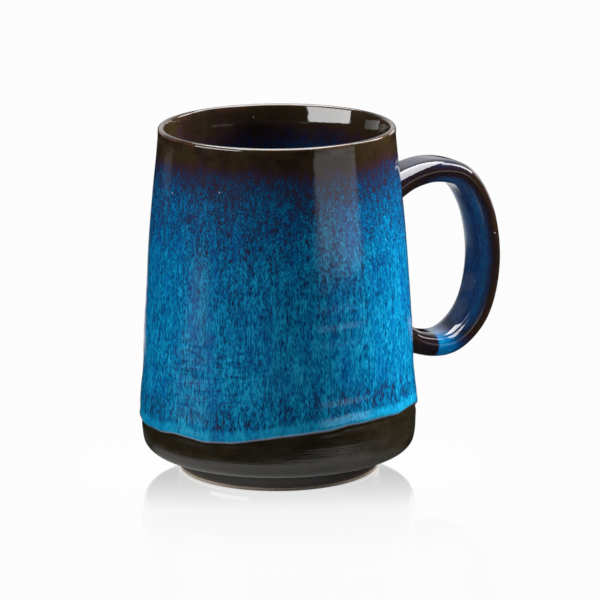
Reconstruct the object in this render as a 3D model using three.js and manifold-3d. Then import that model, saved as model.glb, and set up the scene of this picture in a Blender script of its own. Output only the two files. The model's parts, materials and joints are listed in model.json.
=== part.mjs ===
// A thrown stoneware mug for shaving soap: tall tapered wall, turned foot ring, pulled strap handle.
// Millimetres, +Z up. The foot ring stands on z = 0 and the handle points along +X.
// The clay pieces and each coat of glaze are separate solids, a small gap apart.

import * as THREE from 'three';
import { mergeVertices } from 'three/addons/utils/BufferGeometryUtils.js';
import Module from 'manifold-3d';

const wasm = await Module();
wasm.setup();

// ---- driving dimensions -------------------------------------------------------------------

const HEIGHT = 120;            // foot to lip
const LIP_THICKNESS = 2.2;     // across the glazed lip
const LIP_RADIUS = 39.6;       // radius of the lip's middle line
const LIP_TURN = 160;          // degrees the lip rounds through before it runs on down inside
const FLOOR_TOP = 9;           // glazed floor inside the mug
const RAW_CLAY_TOP = 1.2;      // the foot is left unglazed below this height

const FOOT_OUTER = 34.6;       // foot ring, outside radius
const FOOT_INNER = 29.6;       // foot ring, inside radius
const FOOT_RECESS = 4.2;       // depth of the turned hollow under the floor
const FOOT_EASE = 0.6;         // the ring's eased edges

const GAP = 0.3;               // between a coat and what it lies on
const COAT = 0.4;              // thickness of the dark glaze
const BLUE_PROUD = 0.3;        // how far the blue coat stands out past the dark one
const SKIN = GAP + COAT;       // from the glazed face down to the clay

const BLUE_TOP = 116.4;        // the blue coat stops under the lip, where the liner glaze begins
const BLUE_TOP_MARGIN = 1;     // the coat's last free row stays this far below its top
const HEEL_TOP = 12.2;         // the dark coat's rows are level below this height
const WAVE_TOP = 32;           // and the blue coat's rows are level above this one

const STRAP_WIDTH = 17;        // the glazed handle, across
const STRAP_THICKNESS = 7.6;   // and through
const EASE_ACROSS = 4.8;       // its soft edges are quarter ellipses this far across
const EASE_THROUGH = 3.3;      // and this far through
const ROOT_FLARE = 2.4;        // how much thicker and wider the strap is where it meets the wall
const ROOT_SHARE = 0.2;        // share of its length over which that flare dies away

const SEGMENTS = 40;           // round the mug
const LIP_STEPS = 4;           // over the lip
const INSIDE_STEPS = 12;       // down the inside
const STRAP_STEPS = 30;        // along the handle
const CORNER_STEPS = 2;        // on each soft edge of the handle
const HALVINGS = 30;           // when a height is looked up on the outside curve
const FINE_STEPS = 200;        // when a curve is measured

// Outside of the glazed mug from the top of the raw clay to just under the lip, [radius, height].
const OUTSIDE = [
  [34.8, RAW_CLAY_TOP],
  [35.1, 4.9],
  [36.4, 5.9],
  [40.5, 6.7],
  [44.4, 7.7],
  [46.4, 9.6],
  [47.2, HEEL_TOP],
  [47.6, 24.5],
  [46.5, 36],
  [46.2, 46],
  [45.1, 64],
  [43.65, 85],
  [41.75, 104],
  [40.7, 117],
];

// Inside of the glazed mug from just under the lip to the edge of the flat floor.
const INSIDE = [
  [38.2, 117.2],
  [37.5, 113.5],
  [37.4, 108],
  [39.6, 85],
  [41.1, 64],
  [42.2, 42],
  [42.6, 25],
  [41.0, 15],
  [36.5, 10.2],
  [31.0, FLOOR_TOP],
];

// Middle line of the handle, [distance from the mug's axis, height]; both ends run into the wall.
const STRAP_PATH = [
  [34, 87.6],
  [42.5, 92.5],
  [51.5, 96.8],
  [62, 98.2],
  [72.5, 95],
  [80.3, 83.5],
  [83.5, 63],
  [78.5, 44.5],
  [67.5, 35.8],
  [54.5, 37.2],
  [42.5, 45.5],
  [34, 51.5],
];

// The lower edge of the blue coat rises and falls round the mug: mean height, then each wave's
// count round the mug, height and turn in degrees.
const BLUE_EDGE_HEIGHT = 19.9;
const BLUE_EDGE_WAVES = [
  [1, 3.4, 77],
  [2, 1.2, 166],
  [3, 0.8, -159],
  [5, 0.4, -167],
];

// ---- outlines -----------------------------------------------------------------------------

const curveThrough = (points) =>
  new THREE.CatmullRomCurve3(points.map(([x, z]) => new THREE.Vector3(x, 0, z)));

const outside = curveThrough(OUTSIDE);
const inside = curveThrough(INSIDE);
const strapPath = curveThrough(STRAP_PATH);

const planar = (v) => new THREE.Vector2(v.x, v.z);

function sampled(curve, steps) {
  return curve.getPoints(steps).map(planar);
}

// The outside point at a given height; the height grows all the way along the curve.
function outsideAt(height) {
  let low = 0;
  let high = 1;
  for (let i = 0; i < HALVINGS; i += 1) {
    const middle = (low + high) / 2;
    if (outside.getPoint(middle).z < height) low = middle;
    else high = middle;
  }
  return planar(outside.getPoint(low));
}

const wallFace = sampled(outside, 2 * (OUTSIDE.length - 1));

// Round over the lip, from the outside to the inside.
function lipArc() {
  const radius = LIP_THICKNESS / 2;
  const arc = [];
  for (let i = 0; i <= LIP_STEPS; i += 1) {
    const turn = THREE.MathUtils.degToRad((LIP_TURN * i) / LIP_STEPS);
    arc.push(new THREE.Vector2(
      LIP_RADIUS + radius * Math.cos(turn),
      HEIGHT - radius + radius * Math.sin(turn),
    ));
  }
  return arc;
}

// Moves an outline sideways: a positive distance is to the right of the direction of travel,
// which is out of the glazed face when it runs up the outside and down the inside.
function shifted(points, distance) {
  return points.map((point, i) => {
    const before = points[Math.max(i - 1, 0)];
    const after = points[Math.min(i + 1, points.length - 1)];
    const along = after.clone().sub(before).normalize();
    return new THREE.Vector2(point.x + along.y * distance, point.y - along.x * distance);
  });
}

function onAxis(height) {
  return new THREE.Vector2(0, height);
}

// ---- solids -------------------------------------------------------------------------------

function geometryFrom(positions, indices) {
  const geometry = new THREE.BufferGeometry();
  geometry.setAttribute('position', new THREE.Float32BufferAttribute(positions, 3));
  geometry.setIndex(indices);
  return geometry;
}

// A solid of revolution about +Z from an outline that starts and ends on the axis.
function turned(outline) {
  return new THREE.LatheGeometry(outline, SEGMENTS).rotateX(Math.PI / 2);
}

// A closed ring whose section may change round the mug; sectionAt(angle) lists its closed
// outline up the outer side and down the inner one.
function ring(sectionAt) {
  const positions = [];
  const indices = [];
  const count = sectionAt(0).length;
  for (let i = 0; i < SEGMENTS; i += 1) {
    const angle = (2 * Math.PI * i) / SEGMENTS;
    const next = (i + 1) % SEGMENTS;
    sectionAt(angle).forEach((point, j) => {
      const a = i * count + j;
      const b = i * count + ((j + 1) % count);
      const c = next * count + j;
      const d = next * count + ((j + 1) % count);
      positions.push(point.x * Math.cos(angle), point.x * Math.sin(angle), point.y);
      indices.push(a, c, b, b, c, d);
    });
  }
  return geometryFrom(positions, indices);
}

function toManifold(geometry) {
  const bare = geometry.clone();
  bare.deleteAttribute('normal');
  bare.deleteAttribute('uv');
  const merged = mergeVertices(bare);
  return new wasm.Manifold(new wasm.Mesh({
    numProp: 3,
    vertProperties: new Float32Array(merged.attributes.position.array),
    triVerts: new Uint32Array(merged.index.array),
  }));
}

function fromManifold(solid) {
  const mesh = solid.getMesh();
  return geometryFrom(mesh.vertProperties, Array.from(mesh.triVerts));
}

// Everything within the mug's outside face, moved out by some distance.
function mugPlug(distance) {
  const wall = shifted(wallFace, distance);
  const last = wall[wall.length - 1];
  const outline = [onAxis(-GAP), new THREE.Vector2(wall[0].x, -GAP), ...wall];
  outline.push(new THREE.Vector2(last.x, HEIGHT + GAP), onAxis(HEIGHT + GAP));
  return toManifold(turned(outline));
}

// ---- the thrown body ----------------------------------------------------------------------

function clayBody() {
  const glazed = [
    ...wallFace,
    ...lipArc(),
    ...sampled(inside, INSIDE_STEPS),
    onAxis(FLOOR_TOP),
  ];
  const clay = shifted(glazed, -SKIN);
  clay[clay.length - 1].x = 0;
  const foot = [
    [0, FOOT_RECESS],
    [FOOT_INNER - FOOT_EASE, FOOT_RECESS],
    [FOOT_INNER, FOOT_RECESS - FOOT_EASE],
    [FOOT_INNER, FOOT_EASE],
    [FOOT_INNER + FOOT_EASE, 0],
    [FOOT_OUTER - FOOT_EASE, 0],
    [FOOT_OUTER, FOOT_EASE],
    [FOOT_OUTER, RAW_CLAY_TOP - GAP],
  ].map(([x, z]) => new THREE.Vector2(x, z));
  return turned([...foot, ...clay]);
}

// ---- glaze coats on the body --------------------------------------------------------------

function blueEdge(angle) {
  return BLUE_EDGE_WAVES.reduce(
    (height, [count, rise, turn]) =>
      height + rise * Math.cos(count * angle + THREE.MathUtils.degToRad(turn)),
    BLUE_EDGE_HEIGHT,
  );
}

// A coat over the given stretch of the outside face, from its underside to its glazed side.
function coatSection(face, proud) {
  return [...shifted(face, proud), ...shifted(face, -COAT).reverse()];
}

function baseGlaze() {
  const heel = wallFace.filter((point) => point.y <= HEEL_TOP);
  return ring((angle) => {
    const top = blueEdge(angle) - GAP / 2;
    const face = [...heel, outsideAt((HEEL_TOP + top) / 2), outsideAt(top)];
    return coatSection(face, 0);
  });
}

function blueGlaze() {
  const levels = wallFace.filter((point) => point.y > WAVE_TOP && point.y < BLUE_TOP - BLUE_TOP_MARGIN);
  levels.push(outsideAt(BLUE_TOP));
  return ring((angle) => {
    const bottom = blueEdge(angle) + GAP / 2;
    const face = [outsideAt(bottom), outsideAt((bottom + WAVE_TOP) / 2), ...levels];
    return coatSection(face, BLUE_PROUD);
  });
}

function linerGlaze() {
  const glazed = [
    outsideAt(BLUE_TOP + GAP),
    ...lipArc(),
    ...sampled(inside, INSIDE_STEPS),
    onAxis(FLOOR_TOP),
  ];
  const under = shifted(glazed, -COAT);
  under[under.length - 1].x = 0;
  return turned([...under.reverse(), ...glazed]);
}

// ---- the handle ---------------------------------------------------------------------------

// Outline of the strap's section, grown all round by some distance: across, then through.
function strapSection(grow, flare) {
  const across = (STRAP_WIDTH + flare) / 2 - EASE_ACROSS;
  const through = (STRAP_THICKNESS + flare) / 2 - EASE_THROUGH;
  const outline = [];
  for (const [side, face, start] of [[1, 1, 0], [-1, 1, 90], [-1, -1, 180], [1, -1, 270]]) {
    for (let i = 0; i <= CORNER_STEPS; i += 1) {
      const turn = THREE.MathUtils.degToRad(start + (90 * i) / CORNER_STEPS);
      outline.push([
        side * across + (EASE_ACROSS + grow) * Math.cos(turn),
        face * through + (EASE_THROUGH + grow) * Math.sin(turn),
      ]);
    }
  }
  return outline;
}

function rootFlare(share) {
  const fromEnd = Math.min(share, 1 - share);
  const left = Math.max(0, 1 - fromEnd / ROOT_SHARE);
  return ROOT_FLARE * left * left;
}

// The strap swept along its path, with flat ends inside the mug.
function strap(grow) {
  const positions = [];
  const indices = [];
  const count = strapSection(grow, 0).length;
  for (let i = 0; i <= STRAP_STEPS; i += 1) {
    const share = i / STRAP_STEPS;
    const centre = strapPath.getPoint(share);
    const along = strapPath.getTangent(share);
    for (const [across, through] of strapSection(grow, rootFlare(share))) {
      positions.push(centre.x - along.z * through, across, centre.z + along.x * through);
    }
    if (i === STRAP_STEPS) continue;
    for (let j = 0; j < count; j += 1) {
      const a = i * count + j;
      const b = i * count + ((j + 1) % count);
      indices.push(a, b, a + count, b, b + count, a + count);
    }
  }
  for (let j = 1; j < count - 1; j += 1) {
    const last = STRAP_STEPS * count;
    indices.push(0, j + 1, j);
    indices.push(last, last + j, last + j + 1);
  }
  return toManifold(geometryFrom(positions, indices));
}

// The strap's share of the layer of slip between the clay wall and the handle, upper or lower.
function slipJoint(strapSolid, isUpper) {
  const layer = mugPlug(BLUE_PROUD).subtract(mugPlug(-COAT));
  const both = layer.intersect(strapSolid).decompose();
  const middle = (solid) => {
    const box = solid.boundingBox();
    return (box.min[2] + box.max[2]) / 2;
  };
  both.sort((a, b) => middle(a) - middle(b));
  return fromManifold(isUpper ? both[both.length - 1] : both[0]);
}

// ---- the mug ------------------------------------------------------------------------------

const finishes = {
  cream_clay: { color: 0xcdbfa6, roughness: 0.85, metalness: 0 },
  slip: { color: 0x4a3a34, roughness: 0.6, metalness: 0 },
  dark_glaze: { color: 0x2a1d1c, roughness: 0.12, metalness: 0 },
  blue_glaze: { color: 0x1273b4, roughness: 0.16, metalness: 0 },
};

const strapSpace = strap(0);
const strapClay = strap(-SKIN);
const handlePlug = mugPlug(BLUE_PROUD + GAP);

const pieces = [
  ['clay_body', 'cream_clay', clayBody()],
  ['handle', 'cream_clay', fromManifold(strapClay.subtract(handlePlug))],
  ['upper_slip_joint', 'slip', slipJoint(strapSpace, true)],
  ['lower_slip_joint', 'slip', slipJoint(strapSpace, false)],
  ['base_glaze_coat', 'dark_glaze', baseGlaze()],
  ['blue_glaze_coat', 'blue_glaze', fromManifold(toManifold(blueGlaze()).subtract(strap(GAP)))],
  ['liner_glaze_coat', 'dark_glaze', linerGlaze()],
  [
    'handle_glaze_coat',
    'dark_glaze',
    fromManifold(strapSpace.subtract(strap(-COAT)).subtract(handlePlug)),
  ],
];

const widest = (curve) => Math.max(...sampled(curve, FINE_STEPS).map((point) => point.x));
const reach = widest(strapPath) + STRAP_THICKNESS / 2;
const belly = widest(outside) + BLUE_PROUD;

const mug = new THREE.Group();
// The origin is under the middle of the whole piece, handle included.
mug.position.x = (belly - reach) / 2;
for (const [name, finish, geometry] of pieces) {
  const mesh = new THREE.Mesh(geometry, new THREE.MeshStandardMaterial(finishes[finish]));
  mesh.name = name;
  mug.add(mesh);
}

export default mug;
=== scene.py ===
import json
import math

import bpy
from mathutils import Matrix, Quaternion, Vector, noise


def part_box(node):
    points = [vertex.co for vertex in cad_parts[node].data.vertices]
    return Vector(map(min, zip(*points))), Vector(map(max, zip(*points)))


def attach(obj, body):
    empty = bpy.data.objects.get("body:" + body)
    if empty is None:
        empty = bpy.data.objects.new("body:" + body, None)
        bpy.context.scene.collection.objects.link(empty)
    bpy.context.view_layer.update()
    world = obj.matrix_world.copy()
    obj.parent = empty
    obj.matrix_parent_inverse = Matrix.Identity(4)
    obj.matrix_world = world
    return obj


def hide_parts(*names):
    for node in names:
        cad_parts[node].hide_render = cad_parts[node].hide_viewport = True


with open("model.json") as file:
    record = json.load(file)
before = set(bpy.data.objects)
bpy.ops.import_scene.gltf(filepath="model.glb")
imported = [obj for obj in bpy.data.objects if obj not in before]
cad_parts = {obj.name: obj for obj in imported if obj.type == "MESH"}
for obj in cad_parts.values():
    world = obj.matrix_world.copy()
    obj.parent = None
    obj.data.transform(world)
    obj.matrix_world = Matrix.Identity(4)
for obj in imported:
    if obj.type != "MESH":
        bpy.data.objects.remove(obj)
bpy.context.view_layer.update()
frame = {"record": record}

# The looks of a thrown stoneware mug: every coat of glaze and every clay piece as a fine mesh.
# Lengths are millimetres in the mug's own frame, its axis at the origin, until a mesh is made.

MM = 0.001

# ---- driving sizes: the axis, the height and the floor come from the frame ----

LINER_LOW, LINER_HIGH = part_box("liner_glaze_coat")
MOUNTS = {mount["name"]: mount for mount in frame["record"]["mounts"]}

AXIS = Vector(((LINER_LOW.x + LINER_HIGH.x) / 2, (LINER_LOW.y + LINER_HIGH.y) / 2, 0))
HEIGHT = LINER_HIGH.z / MM
FLOOR_TOP = MOUNTS["soap_floor"]["pos_m"][2] / MM

LIP_THICKNESS = 2.2
LIP_RADIUS = 39.6
LIP_TURN = 160           # degrees the lip rounds through before it runs on down inside
RAW_CLAY_TOP = 1.2

FOOT_OUTER = 34.6
FOOT_INNER = 29.6
FOOT_RECESS = 4.2
FOOT_EASE = 0.6          # radius of the foot ring's lower corners
RECESS_EASE = 1.6        # radius of the corner inside the foot ring
RECESS_CROWN = 0.25      # how far the recess rises from its middle to its rim
TURNING_PITCH = 2.3      # between the turning lines in the recess
TURNING_DEPTH = 0.09
POLE_GAP = 0.6           # radius of the last ring of points round a middle point

COAT = 0.4               # the dark glaze
BLUE_PROUD = 0.34        # how far the blue coat stands out past the dark one
BLUE_TOP = 116.4         # where the blue coat meets the liner glaze, under the lip
BLUE_THINS = 100.0       # above this height the blue coat thins towards the lip
BLUE_CLIMBS = 7.0        # how much higher the full blue reaches on its high side
EDGE_BEAD = 0.30         # the roll along the blue coat's lower edge
EDGE_NOSE = 1.1          # height over which that roll rounds off
EDGE_GROOVE = 0.28       # the heel's glaze is drawn in this much right under that roll
OVERLAP = 8.0            # how far the dark coat runs on under the blue one
HEEL_SEAM = 12           # the dark coat's rows of points change from the heel's to the wall's here

RING_PITCH = 6.4         # the potter's throwing rings: rise in one turn
RING_DEPTH = 0.05
GRIP_DEPTH = 0.11        # where the fingers gripped the wall low down, the rings are deeper
SWELL_DEPTH = 0.10       # and the whole wall swells and dips softly by this much
DRAG = 0.20              # how far the blue thins along the lines that the fingers dragged

STRAP_WIDTH = 16.9
STRAP_THICKNESS = 7.6
EASE_ACROSS = 4.8        # its soft edges are quarter ellipses this far across
EASE_THROUGH = 3.4       # and this far through
STRAP_CROWN = 0.35       # how far the strap's faces bulge
STRAP_OFF_WALL = BLUE_PROUD - 0.12      # its glaze starts this far out from the dark coat
ROOT_FLARE = 1.6
ROOT_SHARE = 0.2
ROOT_FILLET = 1.2        # radius of the smoothed slip where the strap meets the wall
WINDOW_POWER = 2.7       # how square the openings behind the strap's ends are
WINDOW_MARGIN = 0.1
DIP_START = 60.2         # the lower bend was dipped in blue from this far out from the axis

AROUND = 288             # steps round the mug
STRAP_STEPS = 260        # and along the handle
CORE_STEPS = 90          # along the clay inside it
CORNER_STEPS = 8
FACE_STEPS = 6
SHARP_ANGLE = 55         # a fold sharper than this stays a crease

# Outside of the dark-glazed mug, [radius, height], from the top of the raw clay to the lip.
OUTSIDE = [
    (34.8, RAW_CLAY_TOP),
    (35.1, 4.9),
    (36.4, 5.9),
    (40.5, 6.7),
    (44.4, 7.7),
    (46.4, 9.6),
    (47.2, 12.2),
    (47.6, 24.5),
    (46.5, 36.0),
    (46.2, 46.0),
    (45.1, 64.0),
    (43.65, 85.0),
    (41.75, 104.0),
    (40.7, 117.0),
]

# Inside of the glazed mug, from under the lip to the edge of the flat floor.
INSIDE = [
    (38.2, 117.2),
    (37.5, 113.5),
    (37.4, 108.0),
    (39.6, 85.0),
    (41.1, 64.0),
    (42.2, 42.0),
    (42.6, 25.0),
    (41.0, 15.0),
    (36.5, 10.2),
    (31.0, FLOOR_TOP),
]

# Middle line of the handle, [distance from the mug's axis, height].
STRAP_PATH = [
    (34.0, 87.6),
    (42.5, 92.5),
    (51.5, 96.8),
    (62.0, 98.2),
    (72.5, 95.0),
    (80.3, 83.5),
    (83.5, 63.0),
    (78.5, 44.5),
    (67.5, 35.8),
    (54.5, 37.2),
    (42.5, 45.5),
    (34.0, 51.5),
]

# The blue coat's lower edge: mean height, then each wave's count, height and turn in degrees.
EDGE_HEIGHT = 19.9
EDGE_WAVES = [
    (1, 3.4, 77),
    (2, 1.2, 166),
    (3, 0.8, -159),
    (5, 0.4, -167),
    (9, 0.35, 40),
]

# How the blue comes in, down from the lip: the share of it, the heights where that share is
# full and where it ends, how many times it takes up the climb, and how many times the wander.
BLUE_STEPS = [
    (0.42, 107, 116, 0, 1),
    (0.19, 98, 108, 0, 1),
    (0.23, 74, 97, 1, 1),
    (0.13, 40, 70, 2, 0),
]

# The photographer's side of the mug: how far round and how high the camera stands.
CAMERA_AZIMUTH = -30.0
CAMERA_ELEVATION = 13.7
CAMERA_DISTANCE = 1.4    # metres
CAMERA_LENS = 243.5
AIM_BESIDE = 7.6         # the camera looks at a point this far to the right of the axis
AIM_HEIGHT = 58.6
CAMERA_ROLL = -0.33

WHITE = 0.975            # how bright the table and the backdrop look to the camera
LAMP_AIM_HEIGHT = 60.0

GRIP_AZIMUTH = CAMERA_AZIMUTH - 36      # the finger marks are on this side
HIGH_BLUE_AZIMUTH = CAMERA_AZIMUTH + 45


# ---- small maths ----

def clamp(value, low=0.0, high=1.0):
    return max(low, min(high, value))


def smooth(low, high, value):
    t = clamp((value - low) / (high - low))
    return t * t * (3 - 2 * t)


def mix(a, b, t):
    return a + (b - a) * t


def quarter_round(t):
    """Height of a quarter circle of radius 1, t along from where it starts."""
    return math.sqrt(max(0.0, 1 - (1 - t) ** 2))


def arc(x, y, radius, start, end, steps):
    """Points along a circle from one angle in degrees to another."""
    turns = [math.radians(mix(start, end, i / steps)) for i in range(steps + 1)]
    return [Vector((x + radius * math.cos(turn), y + radius * math.sin(turn))) for turn in turns]


def toward(azimuth, elevation=0):
    """Unit vector from the mug towards a place seen at that azimuth and elevation."""
    a, e = math.radians(azimuth), math.radians(elevation)
    return Vector((math.sin(a) * math.cos(e), -math.cos(a) * math.cos(e), math.sin(e)))


def facing(angle, azimuth):
    """1 where the wall at an angle round the mug looks towards an azimuth, -1 opposite."""
    return Vector((math.cos(angle), math.sin(angle), 0)).dot(toward(azimuth))


def drift(angle, turns, level):
    """Smooth noise round the mug, finer with more turns and different at every level."""
    return noise.noise(Vector((math.cos(angle) * turns, math.sin(angle) * turns, level)))


class Curve:
    """A centripetal Catmull-Rom curve through [x, y] points; at(share) runs from 0 to 1."""

    def __init__(self, points):
        self.points = [Vector(p) for p in points]
        first = self.points[0] * 2 - self.points[1]
        last = self.points[-1] * 2 - self.points[-2]
        self.padded = [first, *self.points, last]

    def at(self, share):
        spans = len(self.points) - 1
        place = clamp(share) * spans
        span = min(int(place), spans - 1)
        w = place - span
        p0, p1, p2, p3 = self.padded[span:span + 4]
        d0, d1, d2 = (max((b - a).length ** 0.5, 1e-4) for a, b in ((p0, p1), (p1, p2), (p2, p3)))
        t1 = ((p1 - p0) / d0 - (p2 - p0) / (d0 + d1) + (p2 - p1) / d1) * d1
        t2 = ((p2 - p1) / d1 - (p3 - p1) / (d1 + d2) + (p3 - p2) / d2) * d1
        c2 = (p2 - p1) * 3 - t1 * 2 - t2
        c3 = (p1 - p2) * 2 + t1 + t2
        return p1 + t1 * w + c2 * w * w + c3 * w ** 3

    def along(self, share):
        step = 1e-4
        return (self.at(share + step) - self.at(share - step)).normalized()


class Profile:
    """A finely sampled outline with its outward normals, looked up by length or by height."""

    def __init__(self, curve, samples=600):
        self.points = [curve.at(i / samples) for i in range(samples + 1)]
        self.lengths = [0.0]
        for a, b in zip(self.points, self.points[1:]):
            self.lengths.append(self.lengths[-1] + (b - a).length)
        self.total = self.lengths[-1]
        self.heights = [p.y for p in self.points]

    def _find(self, keys, value):
        low, high = 0, len(keys) - 1
        while high - low > 1:
            middle = (low + high) // 2
            if keys[middle] <= value:
                low = middle
            else:
                high = middle
        t = clamp((value - keys[low]) / (keys[high] - keys[low]))
        before = self.points[max(low - 1, 0)]
        after = self.points[min(high + 1, len(self.points) - 1)]
        along = (after - before).normalized()
        return self.points[low].lerp(self.points[high], t), Vector((along.y, -along.x))

    def at_length(self, length):
        return self._find(self.lengths, length)

    def at_height(self, height):
        return self._find(self.heights, height)


outside = Profile(Curve(OUTSIDE))
inside = Profile(Curve(INSIDE))
strap_path = Curve(STRAP_PATH)


def blue_edge(angle):
    """Height of the blue coat's lower edge at an angle round the mug."""
    height = EDGE_HEIGHT
    for count, rise, turn in EDGE_WAVES:
        height += rise * math.cos(count * angle + math.radians(turn))
    return height + 0.5 * drift(angle, 6.0, 1.8)


def grip(angle, height):
    """How strongly the potter's fingers marked a place on the wall, from 0 to 1."""
    beside = smooth(0.80, 0.97, facing(angle, GRIP_AZIMUTH))
    return beside * smooth(26, 36, height) * (1 - smooth(50, 60, height))


def throwing_rings(angle, height):
    """The potter's finger marks: shallow rings that climb as they go round."""
    turn = angle / (2 * math.pi)
    fade = smooth(9, 15, height) * (1 - smooth(52, 78, height))
    wave = math.sin(2 * math.pi * (height / RING_PITCH - turn))
    uneven = 0.65 + 0.6 * drift(angle, 1.3, height / 11)
    gripped = noise.noise(Vector((angle * 2.0, height * 0.30, 3.0))) + 0.5 * wave
    swell = drift(angle, 2.0, height / 18) * smooth(9, 14, height)
    rings = RING_DEPTH * fade * wave * uneven
    return rings + GRIP_DEPTH * grip(angle, height) * gripped + SWELL_DEPTH * swell


# ---- meshes ----

def make_mesh(name, points, faces, material, fields=None):
    """A smooth mesh from points in the mug's frame, with named point attributes."""
    used = sorted({v for face in faces for v in face})
    place = {v: i for i, v in enumerate(used)}
    mesh = bpy.data.meshes.new(name)
    mesh.from_pydata(
        [points[v] * MM + AXIS for v in used],
        [],
        [[place[v] for v in face] for face in faces],
    )
    for field, values in (fields or {}).items():
        is_vector = isinstance(values[0], Vector)
        kind = "FLOAT_VECTOR" if is_vector else "FLOAT"
        attribute = mesh.attributes.new(field, kind, "POINT")
        for i, v in enumerate(used):
            if is_vector:
                attribute.data[i].vector = values[v]
            else:
                attribute.data[i].value = values[v]
    mesh.polygons.foreach_set("use_smooth", [True] * len(mesh.polygons))
    mesh.set_sharp_from_angle(angle=math.radians(SHARP_ANGLE))
    mesh.materials.append(material)
    mesh.validate()
    piece = bpy.data.objects.new(name, mesh)
    bpy.context.scene.collection.objects.link(piece)
    return piece


def ring_faces(rows, columns, keep=None):
    """Quads of a grid whose rows are rings; vertex = row * columns + column."""
    faces = []
    for i in range(rows - 1):
        low, high = i * columns, (i + 1) * columns
        for j in range(columns):
            k = (j + 1) % columns
            if keep is None or keep(i, j):
                faces.append((low + j, low + k, high + k, high + j))
    return faces


def fan(points, faces, first, count, middle, flip=False):
    """Closes the ring of points that starts at first, with triangles to a new middle point."""
    points.append(middle)
    for j in range(count):
        triangle = (first + j, first + (j + 1) % count, len(points) - 1)
        faces.append(tuple(reversed(triangle)) if flip else triangle)


def shell(face_points, under_points, faces):
    """Closes a sheet and the sheet under it into one solid, along every open edge."""
    count = len(face_points)
    directed = {(a, b) for f in faces for a, b in zip(f, f[1:] + f[:1])}
    closed = list(faces)
    closed += [tuple(v + count for v in reversed(f)) for f in faces]
    closed += [(b, a, a + count, b + count) for a, b in directed if (b, a) not in directed]
    return face_points + under_points, closed


def coat_mesh(name, face, under, faces, material, fields):
    """The closed mesh of one coat of glaze; its underside carries the same fields as its face."""
    points, closed = shell(face, under, faces)
    both = {field: values * 2 for field, values in fields.items()}
    return make_mesh(name, points, closed, material, both)


def around(radius, angle, height):
    return Vector((radius * math.cos(angle), radius * math.sin(angle), height))


def angle_of(column):
    return 2 * math.pi * column / AROUND


# ---- coats of glaze on the body ----

def edge_groove(angle, height):
    """The shallow groove in the heel's glaze under the blue coat's roll."""
    return EDGE_GROOVE * math.exp(-((height - blue_edge(angle) + 0.7) / 0.9) ** 2)


def wall_point(angle, height, proud):
    """A point on the outside face at a height, moved out by some distance."""
    point, normal = outside.at_height(height)
    lift = proud + throwing_rings(angle, height)
    return around(point.x + normal.x * lift, angle, height + normal.y * lift)


def blue_lift(above, height):
    """How far the blue coat stands out, by distance above its edge and height on the mug."""
    bead = EDGE_BEAD * math.exp(-((above - 1.5) / 1.3) ** 2)
    full = BLUE_PROUD * (1 - smooth(BLUE_THINS, BLUE_TOP, height))
    return quarter_round(clamp(above / EDGE_NOSE)) * (full + bead)


def blue_cover(angle, height):
    """How much blue shows at a height: more with each of the steps down from the lip."""
    wander = 1.6 * drift(angle, 2, 5.0) + drift(angle, 7, 9.0)
    climb = BLUE_CLIMBS * smooth(0.72, 0.95, facing(angle, HIGH_BLUE_AZIMUTH))
    cover = 0.0
    for share, full, end, climbs, wanders in BLUE_STEPS:
        shift = climbs * climb + wanders * wander
        cover += share * (1 - smooth(full + shift, end + shift, height))
    return cover


def run_length(height):
    """Height as the streaks see it: short flecks near the lip, long runs lower down."""
    low, high = 62.0, 96.0
    t = clamp((height - low) / (high - low))
    between = (high - low) * (0.5 * t + 0.25 * t * t)
    return 0.5 * min(height, low) + between + max(0.0, height - high)


def is_behind_strap(point, window):
    """Whether a point of the wall lies in the rounded opening behind one end of the strap."""
    half, low, high = window
    across = abs(point.y) / half
    up = abs(point.z - (low + high) / 2) / ((high - low) / 2)
    return point.x > 0 and across ** WINDOW_POWER + up ** WINDOW_POWER < 1


def blue_coat(material, windows):
    near = [0, 0.08, 0.18, 0.32, 0.5, 0.75, 1.05, 1.4, 1.8, 2.3, 2.9, 3.6, 4.4, 5.3, 6.2]
    far = 118
    face, under = [], []
    cover, flow, above_edge, dragged = [], [], [], []
    rows = len(near) + far
    for i in range(rows):
        for j in range(AROUND):
            angle = angle_of(j)
            edge = blue_edge(angle)
            if i < len(near):
                height = edge + near[i]
            else:
                height = mix(edge + near[-1], BLUE_TOP, (i - len(near) + 1) / far)
            above = height - edge
            face.append(wall_point(angle, height, blue_lift(above, height)))
            rests_on_dark = 1 - smooth(OVERLAP - 1, OVERLAP, above)
            under.append(wall_point(angle, height, mix(-COAT * 0.9, -0.02, rests_on_dark)))
            cover.append(blue_cover(angle, height))
            above_edge.append(above)
            dragged.append(DRAG * grip(angle, height))
            flow.append(Vector((face[-1].x, face[-1].y, run_length(height))))

    def keep(i, j):
        after = (j + 1) % AROUND
        middle = (face[i * AROUND + j] + face[(i + 1) * AROUND + after]) / 2
        return not any(is_behind_strap(middle, window) for window in windows)

    faces = ring_faces(rows, AROUND, keep)
    fields = {"cover": cover, "flow": flow, "above_edge": above_edge, "dragged": dragged}
    return coat_mesh("blue_glaze", face, under, faces, material, fields)


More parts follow.
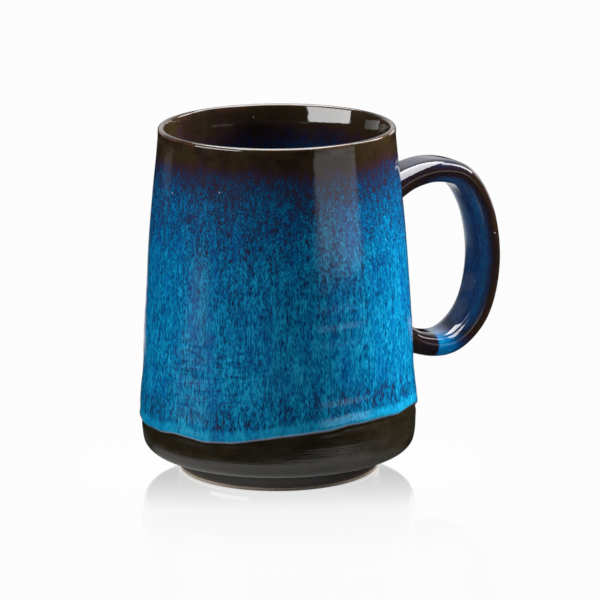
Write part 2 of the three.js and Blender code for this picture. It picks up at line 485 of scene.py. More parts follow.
def base_coat(material):
    """The dark coat on the foot's wall and the heel, running on under the blue one."""
    start_rows, heel_rows, wall_rows = 3, 44, 22
    seam = next(i for i, height in enumerate(outside.heights) if height > HEEL_SEAM)
    heel_length = outside.lengths[seam]
    face, under, thin = [], [], []
    for i in range(heel_rows + wall_rows + 1):
        for j in range(AROUND):
            angle = angle_of(j)
            if i <= heel_rows:
                point, normal = outside.at_length(heel_length * i / heel_rows)
                height = point.y
            else:
                top = blue_edge(angle) + OVERLAP - 1.5
                height = mix(HEEL_SEAM, top, (i - heel_rows) / wall_rows)
                point, normal = outside.at_height(height)
            groove = edge_groove(angle, height)
            edge = mix(-COAT * 0.8, 0, quarter_round(clamp(i / start_rows)))
            lift = edge + throwing_rings(angle, height) - groove
            face.append(around(point.x + normal.x * lift, angle, point.y + normal.y * lift))
            below = -COAT * 0.95 - groove
            under.append(around(point.x + normal.x * below, angle, point.y + normal.y * below))
            thin.append(1 - smooth(1.5, 2.6, height))
    faces = ring_faces(heel_rows + wall_rows + 1, AROUND)
    return coat_mesh("base_glaze", face, under, faces, material, {"flow": face, "thin": thin})


def lip_point(turn):
    radius = LIP_THICKNESS / 2
    point = Vector((LIP_RADIUS + radius * math.cos(turn), HEIGHT - radius + radius * math.sin(turn)))
    return point, Vector((math.cos(turn), math.sin(turn)))


def liner_outline():
    """Points and outward normals from under the lip outside, over it and down to the floor."""
    row_step, lip_steps, wall_steps, floor_steps = 0.35, 24, 110, 30
    outline = []
    height = BLUE_TOP
    while height < OUTSIDE[-1][1]:
        outline.append(outside.at_height(height))
        height += row_step
    outline += [lip_point(math.radians(LIP_TURN) * i / lip_steps) for i in range(lip_steps + 1)]
    outline += [inside.at_length(inside.total * i / wall_steps) for i in range(wall_steps + 1)]
    return outline + floor_outline(floor_steps)


def floor_outline(steps):
    """Points and normals of the flat floor inside, from its edge to the last ring."""
    radii = [mix(INSIDE[-1][0], POLE_GAP, i / steps) for i in range(1, steps + 1)]
    return [(Vector((radius, FLOOR_TOP)), Vector((0, 1))) for radius in radii]


def liner_coat(material):
    deep = COAT * 0.9
    outline = liner_outline()
    rows = len(outline)
    face, under, cover, thin = [], [], [], []
    for point, normal in outline:
        is_outer = point.x > LIP_RADIUS
        on_lip = smooth(HEIGHT - 2.2, HEIGHT - 1.2, point.y)
        outer_edge = math.exp(-((normal.y - 0.5) / 0.3) ** 2) if is_outer else 0.35
        for j in range(AROUND):
            angle = angle_of(j)
            face.append(around(point.x, angle, point.y))
            under.append(around(point.x - normal.x * deep, angle, point.y - normal.y * deep))
            wander = 3.0 * drift(angle, 2, 1.0)
            inner_cover = 0.44 * (1 - smooth(98 + wander, 118 + wander, point.y))
            cover.append(blue_cover(angle, point.y) if is_outer else inner_cover)
            thin.append(clamp(on_lip * outer_edge))
    faces = ring_faces(rows, AROUND)
    fan(face, faces, (rows - 1) * AROUND, AROUND, Vector((0, 0, FLOOR_TOP)))
    under.append(Vector((0, 0, FLOOR_TOP - deep)))
    cover.append(cover[-1])
    thin.append(0.0)
    fields = {"cover": cover, "flow": face, "thin": thin}
    return coat_mesh("liner_glaze", face, under, faces, material, fields)


# ---- the clay body ----

def foot_outline():
    """From the middle of the recess, over the foot ring, to the top of the raw clay."""
    recess_rings, ring_gap = 20, 1.4
    radii = [POLE_GAP + i * ring_gap for i in range(recess_rings)]
    rim = recess_rings * ring_gap
    outline = [Vector((r, FOOT_RECESS + RECESS_CROWN * (r / rim) ** 2)) for r in radii]
    corner = Vector((FOOT_INNER - RECESS_EASE, FOOT_RECESS - RECESS_EASE))
    outline += arc(corner.x, corner.y, RECESS_EASE, 90, 0, 8)
    inner, outer = FOOT_INNER + FOOT_EASE, FOOT_OUTER - FOOT_EASE
    outline += arc(inner, FOOT_EASE, FOOT_EASE, 180, 270, 6)
    outline += [Vector((mix(inner, outer, i / 6), 0)) for i in range(1, 6)]
    outline += arc(outer, FOOT_EASE, FOOT_EASE, 270, 360, 6)
    outline.append(Vector((FOOT_OUTER, RAW_CLAY_TOP - 0.1)))
    return outline


def clay_outline():
    """The foot, then under the glaze up the wall, over the lip, down and across the floor."""
    wall_steps, lip_steps, inner_steps, floor_steps = 90, 12, 70, 12
    glazed = [outside.at_length(outside.total * i / wall_steps) for i in range(wall_steps + 1)]
    glazed += [lip_point(math.radians(LIP_TURN) * i / lip_steps) for i in range(lip_steps + 1)]
    glazed += [inside.at_length(inside.total * i / inner_steps) for i in range(inner_steps + 1)]
    glazed += floor_outline(floor_steps)
    return foot_outline() + [point - normal * COAT for point, normal in glazed]


def clay_body(material):
    outline = clay_outline()
    points = []
    for point in outline:
        in_recess = point.x < FOOT_INNER - 1 and point.y < FOOT_RECESS + 2
        for j in range(AROUND):
            angle = angle_of(j)
            line = math.sin(2 * math.pi * (point.x / TURNING_PITCH - angle / (2 * math.pi)))
            turned = TURNING_DEPTH * line if in_recess else 0.0
            points.append(around(point.x, angle, point.y + turned))
    faces = ring_faces(len(outline), AROUND)
    last = (len(outline) - 1) * AROUND
    fan(points, faces, last, AROUND, Vector((0, 0, outline[-1].y)))
    fan(points, faces, 0, AROUND, Vector((0, 0, outline[0].y)), flip=True)
    return make_mesh("clay_mug", points, faces, material)


# ---- the handle ----

def strap_outline(grow, flare):
    """Points round the strap's section: across it, then through it from the mug outwards."""
    wide, deep = EASE_ACROSS + grow, EASE_THROUGH + grow
    across = (STRAP_WIDTH + flare) / 2 - EASE_ACROSS
    through = (STRAP_THICKNESS + flare) / 2 - EASE_THROUGH

    def corner(side, face, degrees):
        turn = math.radians(degrees)
        return Vector((
            side * across + wide * math.cos(turn),
            face * through + deep * math.sin(turn),
        ))

    outline = []
    sides = [(1, 1, 0), (-1, 1, 90), (-1, -1, 180), (1, -1, 270)]
    for n, (side, face, start) in enumerate(sides):
        for i in range(CORNER_STEPS + 1):
            outline.append(corner(side, face, start + 90 * i / CORNER_STEPS))
        end, after = outline[-1], corner(*sides[(n + 1) % 4])
        outline += [end.lerp(after, i / FACE_STEPS) for i in range(1, FACE_STEPS)]
    for p in outline:
        bulge = 1 - (p.x / (across + wide)) ** 2
        p.y += math.copysign(STRAP_CROWN * bulge, p.y) * clamp(abs(p.y) / 2)
    return outline


def root_flare(share):
    """How much wider and thicker the strap is, near either end."""
    left = max(0.0, 1 - min(share, 1 - share) / ROOT_SHARE)
    return ROOT_FLARE * left * left


OUTLINE_COUNT = len(strap_outline(0, 0))


def strap_point(share, index, grow):
    """A point of the strap's surface, by its share of the path and its place round the section."""
    centre = strap_path.at(share)
    along = strap_path.along(share)
    p = strap_outline(grow, root_flare(share))[index]
    return Vector((centre.x - along.y * p.y, p.x, centre.y + along.x * p.y))


def wall_distance(point):
    """How far a point lies outside the dark-glazed wall."""
    on_wall, _ = outside.at_height(point.z)
    return math.hypot(point.x, point.y) - on_wall.x


def root_share(index, grow, offset, from_top):
    """Where one line along the strap leaves the wall, as a share of the path."""
    surely_out, halvings = 0.3, 24
    inside_share, outside_share = (0.0, surely_out) if from_top else (1.0, 1 - surely_out)
    for _ in range(halvings):
        middle = (inside_share + outside_share) / 2
        if wall_distance(strap_point(middle, index, grow)) < offset:
            inside_share = middle
        else:
            outside_share = middle
    return outside_share


def filleted(point, share, offset):
    """Spreads the strap out where it meets the wall, on a round fillet."""
    height_off = wall_distance(point) - offset
    if height_off >= ROOT_FILLET:
        return point
    left = ROOT_FILLET - max(height_off, 0.0)
    spread = ROOT_FILLET - math.sqrt(max(0.0, ROOT_FILLET ** 2 - left ** 2))
    centre = strap_path.at(share)
    out = Vector((0, point.y, point.z - centre.y))
    out.normalize()
    moved = point + out * spread
    on_wall, _ = outside.at_height(moved.z)
    radius = on_wall.x + offset + max(height_off, 0.0)
    moved.x = math.sqrt(max(radius ** 2 - moved.y ** 2, 1.0))
    return moved


def strap_rows(grow, offset, steps, fillet):
    """Lines along the strap from wall to wall: rows of points and their shares of the path."""
    starts = [root_share(k, grow, offset, True) for k in range(OUTLINE_COUNT)]
    ends = [root_share(k, grow, offset, False) for k in range(OUTLINE_COUNT)]
    crowding = 0.75      # how much closer the rows lie near the wall
    rows, shares = [], []
    for i in range(steps + 1):
        even = i / steps
        t = mix(even, 0.5 - 0.5 * math.cos(math.pi * even), crowding)
        row_shares = [mix(start, end, t) for start, end in zip(starts, ends)]
        row = [strap_point(share, k, grow) for k, share in enumerate(row_shares)]
        if fillet:
            row = [filleted(point, share, offset) for point, share in zip(row, row_shares)]
        rows.append(row)
        shares.append(row_shares)
    return rows, shares


def middle_of(ring):
    return sum(ring, Vector((0, 0, 0))) / len(ring)


def loft(rows):
    """A solid through rows of points, its two ends closed by fans."""
    count = len(rows[0])
    points = [p for row in rows for p in row]
    faces = ring_faces(len(rows), count)
    fan(points, faces, 0, count, middle_of(rows[0]), flip=True)
    fan(points, faces, (len(rows) - 1) * count, count, middle_of(rows[-1]))
    return points, faces


def handle_cover(share, place, point):
    """How much blue the handle shows: inner face, top of the upper limb and the lower bend."""
    inner_side = smooth(0.4, 2.6, -place.y)
    outer_side = smooth(0.4, 2.6, place.y)
    inner = 0.38 * inner_side * smooth(0.16, 0.3, share)
    top = 0.20 * outer_side * (1 - smooth(0.26, 0.42, share))
    bare = 0.14 + top + inner * (1 - smooth(0.66, 0.78, share))
    edge = DIP_START + 0.12 * (point.z - 36)
    dipped = smooth(edge - 0.4, edge + 0.4, point.x) * smooth(0.6, 0.66, share)
    patch = max(bare, 0.95 * smooth(0.655, 0.765, share))
    return clamp(mix(bare, patch, dipped))


def handle_painted_sheen(share, place):
    """Painted reflection on the inner face: how strongly a pale sheen is painted in, most along its
    +Y edge, high up.
    """
    inner_side = smooth(0.2, 2.2, -place.y)
    high = smooth(0.17, 0.30, share) * (1 - smooth(0.46, 0.58, share))
    all_along = smooth(0.17, 0.30, share) * (1 - smooth(0.62, 0.72, share))
    return clamp(inner_side * (0.85 * high * smooth(-3.5, 7, place.x) + 0.10 * all_along))


def handle_coat(material):
    rows, shares = strap_rows(0.0, STRAP_OFF_WALL, STRAP_STEPS, True)
    inner_rows, _ = strap_rows(-COAT, STRAP_OFF_WALL, STRAP_STEPS, False)
    face = [p for row in rows for p in row]
    under = [p for row in inner_rows for p in row]
    places = strap_outline(0, 0)
    middles = [middle_of(row) for row in rows]
    length = 0.0
    # The third list holds the painted reflection: how strongly a pale sheen is painted at each
    # point.
    cover, flow, painted_sheen = [], [], []
    for i, row in enumerate(rows):
        length += (middles[i] - middles[max(i - 1, 0)]).length
        for place, share, point in zip(places, shares[i], row):
            cover.append(handle_cover(share, place, point))
            painted_sheen.append(handle_painted_sheen(share, place))
            flow.append(Vector((place.x, place.y, length)))
    faces = ring_faces(len(rows), OUTLINE_COUNT)
    fields = {"cover": cover, "flow": flow, "painted_sheen": painted_sheen}
    return coat_mesh("handle_glaze", face, under, faces, material, fields)


def handle_core(material):
    rows, _ = strap_rows(-COAT - 0.03, BLUE_PROUD, CORE_STEPS, False)
    points, faces = loft(rows)
    return make_mesh("handle_clay", points, faces, material)


def root_ring(offset, from_top):
    """Where the strap's surface crosses the wall at one end, some distance out from it."""
    shares = [root_share(k, 0.0, offset, from_top) for k in range(OUTLINE_COUNT)]
    return [strap_point(share, k, 0.0) for k, share in enumerate(shares)]


def slip_pad(name, material, from_top):
    """The layer of slip between the clay wall and the end of the strap."""
    rows = [root_ring(offset, from_top) for offset in (-COAT + 0.02, -0.05, BLUE_PROUD - 0.02)]
    points, faces = loft(rows if from_top else rows[::-1])
    return make_mesh(name, points, faces, material)


def root_window(from_top):
    """The opening in the blue coat behind one end of the strap: half width, low, high."""
    ring = root_ring(0.0, from_top)
    return (
        max(p.y for p in ring) + WINDOW_MARGIN,
        min(p.z for p in ring) - WINDOW_MARGIN,
        max(p.z for p in ring) + WINDOW_MARGIN,
    )


# ---- materials ----

class Nodes:
    """Short calls that add nodes to a node tree. A value may be a number or another output."""

    def __init__(self, tree):
        self.tree = tree
        self.tree.nodes.clear()

    def node(self, kind, **settings):
        made = self.tree.nodes.new(kind)
        for key, value in settings.items():
            setattr(made, key, value)
        return made

    def link(self, source, target):
        self.tree.links.new(source, target)

    def put(self, target, value):
        if hasattr(value, "node"):
            self.link(value, target)
        else:
            target.default_value = value

    def add(self, kind, output, inputs, **settings):
        """Adds a node, fills in its inputs and gives back one of its outputs."""
        made = self.node(kind, **settings)
        for key, value in inputs.items():
            self.put(made.inputs[key], value)
        return made.outputs[output]

    def math(self, operation, a, b=0.0):
        return self.add("ShaderNodeMath", 0, {0: a, 1: b}, operation=operation)

    def product(self, *factors):
        result = factors[0]
        for factor in factors[1:]:
            result = self.math("MULTIPLY", result, factor)
        return result

    def total(self, *terms):
        result = terms[0]
        for term in terms[1:]:
            result = self.math("ADD", result, term)
        return result

    def vector(self, operation, value, constant, output=0):
        inputs = {0: value, 1: constant}
        return self.add("ShaderNodeVectorMath", output, inputs, operation=operation)

    def scaled(self, vector, scale):
        return self.vector("MULTIPLY", vector, scale)

    def along(self, vector, direction):
        return self.vector("DOT_PRODUCT", vector, direction, "Value")

    def attribute(self, name, vector=False):
        output = "Vector" if vector else "Fac"
        return self.add("ShaderNodeAttribute", output, {}, attribute_name=name)

    def noise(self, vector, detail=2.0, roughness=0.5, distortion=0.0):
        inputs = {
            "Vector": vector,
            "Scale": 1.0,
            "Detail": detail,
            "Roughness": roughness,
            "Distortion": distortion,
        }
        return self.add("ShaderNodeTexNoise", "Fac", inputs)

    def spots(self, vector):
        """Distance from the nearest of the points scattered one to each unit of the vector."""
        inputs = {"Vector": vector, "Scale": 1.0}
        return self.add("ShaderNodeTexVoronoi", "Distance", inputs, feature="F1")

    def remap(self, value, low, high, to_low=0.0, to_high=1.0, kind="LINEAR"):
        inputs = {
            "Value": value,
            "From Min": low,
            "From Max": high,
            "To Min": to_low,
            "To Max": to_high,
        }
        return self.add("ShaderNodeMapRange", "Result", inputs, interpolation_type=kind)

    def eased(self, value, low, high, to_low=0.0, to_high=1.0):
        """Like remap, with a soft start and end."""
        return self.remap(value, low, high, to_low, to_high, "SMOOTHSTEP")

    def ramp(self, value, stops):
        made = self.node("ShaderNodeValToRGB")
        ramp = made.color_ramp
        while len(ramp.elements) < len(stops):
            ramp.elements.new(0.5)
        for element, (place, colour) in zip(ramp.elements, stops):
            element.position = place
            element.color = (*colour, 1)
        self.put(made.inputs["Fac"], value)
        return made.outputs["Color"]

    def blend(self, factor, a, b):
        made = self.node("ShaderNodeMix", data_type="RGBA")
        self.put(made.inputs["Factor"], factor)
        colours = [s for s in made.inputs if s.type == "RGBA"]
        for socket, value in zip(colours, (a, b)):
            self.put(socket, value if hasattr(value, "node") else (*value, 1))
        return [s for s in made.outputs if s.type == "RGBA"][0]

    def bump(self, height, distance):
        inputs = {"Strength": 1.0, "Distance": distance, "Height": height}
        return self.add("ShaderNodeBump", "Normal", inputs)

    def mixed(self, factor, a, b):
        """One shader where the factor is 0, the other where it is 1."""
        return self.add("ShaderNodeMixShader", 0, {0: factor, 1: a, 2: b})

    def emission(self, strength):
        return self.add("ShaderNodeEmission", 0, {"Strength": strength})


class Shader(Nodes):
    """A material with one Principled shader."""

    def __init__(self, name):
        self.material = bpy.data.materials.new(name)
        self.material.use_nodes = True
        super().__init__(self.material.node_tree)
        self.principled = self.node("ShaderNodeBsdfPrincipled")
        self.link(self.principled.outputs[0], self.node("ShaderNodeOutputMaterial").inputs[0])

    def finish(self, colour, roughness, normal):
        self.put(self.principled.inputs["Base Color"], colour)
        self.put(self.principled.inputs["Roughness"], roughness)
        self.principled.inputs["IOR"].default_value = 1.5
        self.link(normal, self.principled.inputs["Normal"])
        return self.material


# Colours of the fired glaze from bare dark coat to thick blue, in linear light.
GLAZE_STOPS = [
    (0.00, (0.0430, 0.0290, 0.0110)),
    (0.10, (0.0540, 0.0250, 0.0160)),
    (0.20, (0.0420, 0.0210, 0.0420)),
    (0.32, (0.0140, 0.0360, 0.1080)),
    (0.47, (0.0035, 0.0850, 0.2400)),
    (0.62, (0.0010, 0.1950, 0.4700)),
    (0.78, (0.0015, 0.3400, 0.6600)),
    (1.00, (0.0200, 0.5200, 0.8300)),
]
BROWN_BELOW = 0.25       # the stops under this place are the brown ones
AMBER = (0.15, 0.060, 0.022)
MAUVE = (0.16, 0.13, 0.17)
PALE_SPECK = (0.30, 0.32, 0.40)
# The colour of the painted reflection on the handle's inner face.
PAINTED_SHEEN = (0.32, 0.40, 0.50)
PIT = (0.006, 0.006, 0.02)
SHADOW = (0.010, 0.007, 0.006)
ROYAL_BLUE = (0.0015, 0.115, 0.46)
# Near-white dots: partly burst bubbles, partly painted glints.
BUBBLE_GLINT = (0.75, 0.78, 0.80)
BROKEN_BROWN = (0.12, 0.075, 0.045)
IRON = (0.16, 0.085, 0.045)


def lower_edge(s, colour, flow, value, centred, tints):
    """The blue coat above its edge: starved and pitted, then a pale pool, then the rolled rim."""
    above = s.attribute("above_edge")
    starved = s.product(s.eased(above, 15, 9), s.remap(above, 3.0, 5.5))
    deeper = s.math("SUBTRACT", value, s.remap(tints, 0.42, 0.60, 0.04, 0.20))
    colour = s.blend(starved, colour, s.ramp(deeper, GLAZE_STOPS))
    gathered = s.remap(tints, 0.62, 0.45, 0.35, 1.0)
    pooled = s.product(s.eased(above, 4.6, 3.0), gathered, 0.9)
    pool_value = s.total(0.86, s.product(centred, 0.35))
    colour = s.blend(pooled, colour, s.ramp(pool_value, GLAZE_STOPS))
    rolled = s.product(s.eased(above, 0.95, 0.25), 0.8)
    colour = s.blend(rolled, colour, MAUVE)
    near_pit = s.spots(s.scaled(flow, (0.44, 0.44, 0.62)))
    in_band = s.product(s.remap(above, 15, 7), s.remap(above, 1.2, 2.4))
    return s.blend(s.product(s.remap(near_pit, 0.16, 0.10), in_band), colour, PIT)


def glaze(name, has_edge=False, contrast=1.0, dark=1.0):
    """Reactive glaze: blue streaks over dark brown, as thick as the piece's cover field says."""
    s = Shader(name)
    flow = s.attribute("flow", vector=True)
    cover = s.attribute("cover")
    fine = s.noise(s.scaled(flow, (2.5, 2.5, 1.15)), roughness=0.6, distortion=0.25)
    runs = s.noise(s.scaled(flow, (0.85, 0.85, 0.30)), roughness=0.6, distortion=0.3)
    clouds = s.noise(s.scaled(flow, (0.10, 0.10, 0.07)), detail=3.0, roughness=0.6)
    tints = s.noise(s.scaled(flow, (0.22, 0.22, 0.06)), detail=3.0, roughness=0.6)

    # How blue each spot is: the cover, swung by the streaks and drifting over wide clouds.
    streak = s.total(
        s.product(s.remap(fine, 0.34, 0.66), 0.64),
        s.product(s.remap(runs, 0.34, 0.66), 0.36),
    )
    centred = s.math("SUBTRACT", streak, 0.5)
    cloud = s.product(s.math("SUBTRACT", clouds, 0.5), 0.30)
    mottle = s.math("SUBTRACT", tints, 0.48)
    value = s.total(
        s.product(cover, 0.73),
        s.product(centred, s.remap(cover, 0.0, 0.75, 0.16 * contrast, 0.86 * contrast)),
        s.product(cloud, s.remap(cover, 0.0, 0.3, 0.7, 1.0)),
        s.product(mottle, s.remap(cover, 0.45, 0.10, 0.0, 0.45)),
    )
    value = s.math("MAXIMUM", value, s.remap(cover, 0.60, 0.90, 0.0, 0.40))
    if has_edge:
        # Where the fingers dragged, the coat broke along thin level lines.
        drag = s.noise(s.scaled(flow, (0.06, 0.06, 0.85)), roughness=0.6, distortion=0.4)
        line = s.remap(s.math("ABSOLUTE", s.math("SUBTRACT", drag, 0.5)), 0.030, 0.006)
        value = s.math("SUBTRACT", value, s.product(line, s.attribute("dragged")))

    stops = [
        (at, tuple(dark * part for part in shade) if at < BROWN_BELOW else shade)
        for at, shade in GLAZE_STOPS
    ]
    colour = s.ramp(value, stops)
    shadowed = s.product(s.remap(clouds, 0.45, 0.62), s.remap(cover, 0.35, 0.05, 0.0, 0.6))
    colour = s.blend(shadowed, colour, SHADOW)
    # Painted reflection: a pale sheen on the handle's inner face, most along its far edge, standing
    # in for the bright backdrop mirrored there.
    painted_sheen = s.product(s.attribute("painted_sheen"), s.remap(runs, 0.30, 0.70, 0.75, 1.0))
    colour = s.blend(painted_sheen, colour, PAINTED_SHEEN)
    bluer = s.product(s.remap(tints, 0.48, 0.66, 0.0, 0.40), s.remap(cover, 0.5, 0.8))
    colour = s.blend(bluer, colour, ROYAL_BLUE)
    # Fine pale specks float in the dark glaze. A few near-white dots anywhere are partly burst
    # bubbles and partly painted glints, small highlights painted into the colour.
    near_speck = s.spots(s.scaled(flow, (1.3, 1.3, 1.3)))
    speck = s.product(s.remap(near_speck, 0.16, 0.06), s.remap(cover, 0.45, 0.05), 0.22)
    colour = s.blend(speck, colour, PALE_SPECK)
    near_bubble_glint = s.spots(s.scaled(flow, (0.12, 0.12, 0.12)))
    colour = s.blend(s.remap(near_bubble_glint, 0.034, 0.020), colour, BUBBLE_GLINT)
    if has_edge:
        colour = lower_edge(s, colour, flow, value, centred, tints)
    else:
        broken = s.product(s.attribute("thin"), s.remap(tints, 0.40, 0.60, 0.15, 0.95))
        colour = s.blend(broken, colour, AMBER)

    peel = s.noise(s.scaled(flow, (0.40, 0.40, 0.30)))
    relief = s.product(streak, s.remap(cover, 0.1, 1.0, 0.05, 0.55))
    normal = s.bump(s.total(relief, peel), 0.00003)
    thick = s.total(cover, s.product(centred, 0.3))
    return s.finish(colour, s.remap(thick, 0.05, 0.9, 0.05, 0.10), normal)


def dark_glaze(name):
    """The bare dark coat of the heel: glossy black-brown with fine turning lines and orange peel."""
    s = Shader(name)
    flow = s.attribute("flow", vector=True)
    lines = s.noise(s.scaled(flow, (0.03, 0.03, 1.5)), detail=3.0, roughness=0.65)
    blots = s.noise(s.scaled(flow, (0.16, 0.16, 0.3)), detail=3.0)
    colour = s.ramp(s.total(s.product(lines, 0.5), s.product(blots, 0.5)), [
        (0.32, (0.0140, 0.0110, 0.0050)),
        (0.52, (0.0260, 0.0200, 0.0100)),
        (0.70, (0.0480, 0.0330, 0.0210)),
    ])
    colour = s.blend(s.product(s.attribute("thin"), 0.8), colour, BROKEN_BROWN)
    grain = s.noise(s.scaled(flow, (1.1, 1.1, 1.8)), roughness=0.6)
    normal = s.bump(s.total(s.product(lines, 0.7), s.product(grain, 0.5)), 0.00007)
    return s.finish(colour, s.remap(blots, 0.3, 0.7, 0.07, 0.13), normal)


def raw_clay(name):
    """Unglazed cream stoneware: matt and sandy, with iron specks."""
    s = Shader(name)
    place = s.node("ShaderNodeTexCoord").outputs["Object"]
    sand = s.noise(s.scaled(place, (1400, 1400, 1400)), detail=3.0, roughness=0.65)
    tone = s.noise(s.scaled(place, (90, 90, 160)), detail=3.0)
    colour = s.ramp(s.total(s.product(sand, 0.45), s.product(tone, 0.55)), [
        (0.32, (0.42, 0.33, 0.235)),
        (0.50, (0.60, 0.50, 0.385)),
        (0.68, (0.72, 0.63, 0.51)),
    ])
    near_iron = s.spots(s.scaled(place, (520, 520, 520)))
    colour = s.blend(s.product(s.remap(near_iron, 0.14, 0.07), 0.7), colour, IRON)
    return s.finish(colour, s.remap(sand, 0.3, 0.7, 0.78, 0.92), s.bump(sand, 0.00008))


def fired_slip(name):
    """Slip in the joints: the same clay, darker where glaze has soaked in."""
    s = Shader(name)
    place = s.node("ShaderNodeTexCoord").outputs["Object"]
    grain = s.noise(s.scaled(place, (700, 700, 700)), detail=3.0, roughness=0.6)
    colour = s.ramp(grain, [(0.35, (0.05, 0.033, 0.025)), (0.65, (0.11, 0.075, 0.055))])
    return s.finish(colour, s.remap(grain, 0.3, 0.7, 0.5, 0.7), s.bump(grain, 0.00008))


# ---- camera, floor and light ----

def add_camera():
    data = bpy.data.cameras.new("camera")
    data.lens = CAMERA_LENS
    data.sensor_width = 36
    data.clip_end = 20
    camera = bpy.data.objects.new("camera", data)
    bpy.context.scene.collection.objects.link(camera)
    back = toward(CAMERA_AZIMUTH, CAMERA_ELEVATION)
    right = toward(CAMERA_AZIMUTH + 90)
    aim = AXIS + right * AIM_BESIDE * MM + Vector((0, 0, AIM_HEIGHT * MM))
    camera.location = aim + back * CAMERA_DISTANCE
    level = (-back).to_track_quat("-Z", "Y")
    roll = Quaternion((0, 0, 1), math.radians(CAMERA_ROLL))
    camera.rotation_euler = (level @ roll).to_euler()
    bpy.context.scene.camera = camera


def add_softbox(name, azimuth, elevation, distance, width, height, radiance, **seen_by):
    """A rectangular lamp facing the mug, in metres; azimuth is from the camera, to its right."""
    data = bpy.data.lights.new(name, "AREA")
    data.shape = "RECTANGLE"
    data.size = width
    data.size_y = height
    data.energy = radiance * width * height * math.pi
    lamp = bpy.data.objects.new(name, data)
    bpy.context.scene.collection.objects.link(lamp)
    direction = toward(CAMERA_AZIMUTH + azimuth, elevation)
    lamp.location = AXIS + Vector((0, 0, LAMP_AIM_HEIGHT * MM)) + direction * distance
    lamp.rotation_euler = (-direction).to_track_quat("-Z", "Y").to_euler()
    lamp.visible_camera = False
    for key, value in seen_by.items():
        setattr(lamp, "visible_" + key, value)


def table_mirror(s, place, from_foot):
    """How strongly the table mirrors the mug to the camera: most beside the foot."""
    front = toward(CAMERA_AZIMUTH)
    depth = s.math("SUBTRACT", s.along(place, front), AXIS.dot(front))
    near_foot = s.product(
        s.eased(from_foot, 0.085, 0.060),
        s.remap(s.math("ABSOLUTE", depth), 0.014, 0.056, 0.30, 0.0),
    )
    return s.total(near_foot, s.remap(from_foot, 0.045, 0.110, 0.09, 0.012))


def table_glow(s, place):
    """What the glaze mirrors of the table, in metres from the middle of the whole piece."""
    ahead = s.along(place, toward(CAMERA_AZIMUTH))
    aside = s.along(place, toward(CAMERA_AZIMUTH + 90))
    # A pale glowing disc in front of the foot, with painted shade right beside the foot where the
    # mug shades the table, and dimmer on the handle's side.
    from_middle = s.vector("DISTANCE", place, (0, 0, 0), "Value")
    disc = s.product(
        s.eased(from_middle, 0.090, 0.084, 0.03, 1.3),
        s.remap(aside, 0.052, 0.038, 0.25, 1.0),
        s.remap(from_middle, 0.040, 0.085, 0.20, 1.0),
        s.remap(ahead, 0.004, 0.050, 0.05, 1.0),
    )
    # A lamp's reflection that lies on the table, far out to the left.
    left = toward(CAMERA_AZIMUTH - 69)
    off_line = s.math("ABSOLUTE", s.along(place, left.cross(Vector((0, 0, 1)))))
    out = s.along(place, left)
    streak = s.product(
        s.eased(off_line, 0.10, 0.06),
        s.remap(out, 0.15, 0.35),
        s.remap(out, 0.95, 0.75),
        0.42,
    )
    # A painted pool of light, glowing straight behind the mug.
    field = s.product(
        s.remap(ahead, -0.13, -0.17),
        s.remap(ahead, -0.50, -0.44),
        s.remap(aside, -0.145, -0.115),
        s.remap(aside, 0.045, 0.030),
        0.95,
    )
    return s.total(disc, streak, field)


def add_floor():
    """A white table: bright and faintly mirroring to the camera, mostly dark to the glaze."""
    size = 6.0
    corners = [(-size, -size, 0), (size, -size, 0), (size, size, 0), (-size, size, 0)]
    mesh = bpy.data.meshes.new("floor")
    mesh.from_pydata(corners, [], [(0, 1, 2, 3)])
    floor = bpy.data.objects.new("floor", mesh)
    bpy.context.scene.collection.objects.link(floor)
    material = bpy.data.materials.new("floor")
    material.use_nodes = True
    s = Nodes(material.node_tree)
    ray = s.node("ShaderNodeLightPath").outputs
    place = s.node("ShaderNodeTexCoord").outputs["Object"]
    from_foot = s.vector("DISTANCE", place, AXIS, "Value")
    mirror = s.add("ShaderNodeBsdfGlossy", 0, {"Roughness": 0.04, "Color": (1, 1, 1, 1)})
    matt = s.add("ShaderNodeBsdfDiffuse", 0, {"Color": (0.36, 0.36, 0.36, 1)})
    to_camera = s.mixed(table_mirror(s, place, from_foot), s.emission(WHITE), mirror)
    to_glaze = s.emission(table_glow(s, place))
    to_others = s.mixed(ray["Is Glossy Ray"], matt, to_glaze)
    shown = s.mixed(ray["Is Camera Ray"], to_others, to_camera)
    s.link(shown, s.node("ShaderNodeOutputMaterial").inputs[0])
    mesh.materials.append(material)


def add_world():
    """White to the camera, a white backdrop behind the mug to the glaze, and a soft dim room."""
    world = bpy.data.worlds.new("studio")
    bpy.context.scene.world = world
    world.use_nodes = True
    s = Nodes(world.node_tree)

    def background(strength, colour):
        return s.add("ShaderNodeBackground", 0, {"Color": (*colour, 1), "Strength": strength})

    ray = s.node("ShaderNodeLightPath").outputs
    direction = s.node("ShaderNodeTexCoord").outputs["Generated"]
    behind = s.along(direction, -toward(CAMERA_AZIMUTH))
    up = s.along(direction, (0, 0, 1))
    backdrop = s.product(s.eased(behind, 0.70, 0.85), s.eased(up, 0.04, 0.10))
    ceiling = s.product(s.eased(behind, 0.30, 0.55), s.eased(up, 0.14, 0.24))
    room = background(0.15, (0.95, 0.97, 1.0))
    dark = background(0.03, (0.95, 0.97, 1.0))
    grey = background(0.34, (0.85, 0.93, 1.0))
    white = background(1.0, (1, 1, 1))
    to_glaze = s.mixed(backdrop, s.mixed(ceiling, dark, grey), white)
    to_others = s.mixed(ray["Is Glossy Ray"], room, to_glaze)
    shown = s.mixed(ray["Is Camera Ray"], to_others, background(WHITE, (1, 1, 1)))
    s.link(shown, s.node("ShaderNodeOutputWorld").inputs[0])


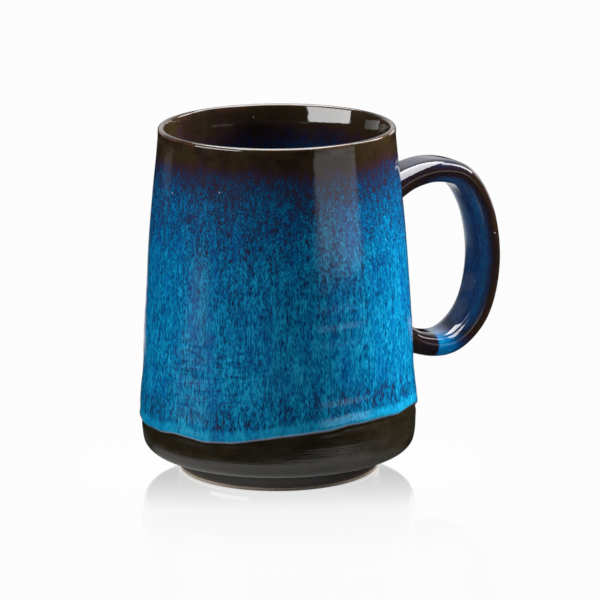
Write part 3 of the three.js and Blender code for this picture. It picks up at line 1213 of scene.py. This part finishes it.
def add_lights():
    # What lights the glaze: a key from the right and behind, a weaker fill from the left.
    add_softbox("key", 110, 30, 1.3, 0.55, 0.9, 19, glossy=False)
    add_softbox("fill", -80, 14, 1.3, 0.7, 0.9, 5.0, glossy=False)
    add_softbox("top", 180, 76, 1.2, 0.8, 0.8, 2.0, glossy=False)
    # What it mirrors: dim panels to the right, bright boxes overhead, high right and low
    # left, and pale cards behind on either side.
    add_softbox("strip_upper", 56, 4.2, 0.56, 0.43, 0.112, 1.15, diffuse=False)
    add_softbox("strip_lower", 65, -2.9, 0.56, 0.25, 0.030, 1.15, diffuse=False)
    add_softbox("strip_faint", 43.5, -2.9, 0.56, 0.17, 0.030, 0.55, diffuse=False)
    add_softbox("overhead", 180, 81, 1.2, 1.3, 1.4, 13, diffuse=False)
    add_softbox("key_seen", 120, 36, 1.2, 0.35, 0.7, 11, diffuse=False)
    add_softbox("box_left", -59, 18, 0.9, 0.82, 0.36, 12, diffuse=False)
    add_softbox("card_right", 146, 5, 0.9, 0.28, 0.32, 1.5, diffuse=False)
    add_softbox("card_left", -136, 1, 0.9, 0.70, 0.18, 0.20, diffuse=False)


# ---- the mug ----

add_camera()
add_world()
add_floor()
add_lights()
bpy.context.scene.view_settings.view_transform = "Standard"

blue = glaze("blue_glaze", has_edge=True)
lining = glaze("liner_glaze")
strap_glaze = glaze("handle_glaze", contrast=0.42, dark=0.62)
heel_glaze = dark_glaze("dark_glaze")
clay = raw_clay("cream_clay")
slip = fired_slip("slip")

windows = [root_window(True), root_window(False)]
made = [
    (clay_body(clay), "clay_body", "cream_clay"),
    (handle_core(clay), "handle", "cream_clay"),
    (slip_pad("upper_slip", slip, True), "upper_slip_joint", "slip"),
    (slip_pad("lower_slip", slip, False), "lower_slip_joint", "slip"),
    (base_coat(heel_glaze), "base_glaze_coat", "dark_glaze"),
    (blue_coat(blue, windows), "blue_glaze_coat", "blue_glaze"),
    (liner_coat(lining), "liner_glaze_coat", "dark_glaze"),
    (handle_coat(strap_glaze), "handle_glaze_coat", "dark_glaze"),
]
for piece, node, slot in made:
    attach(piece, "root")
    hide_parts(node)

bpy.context.view_layer.update()
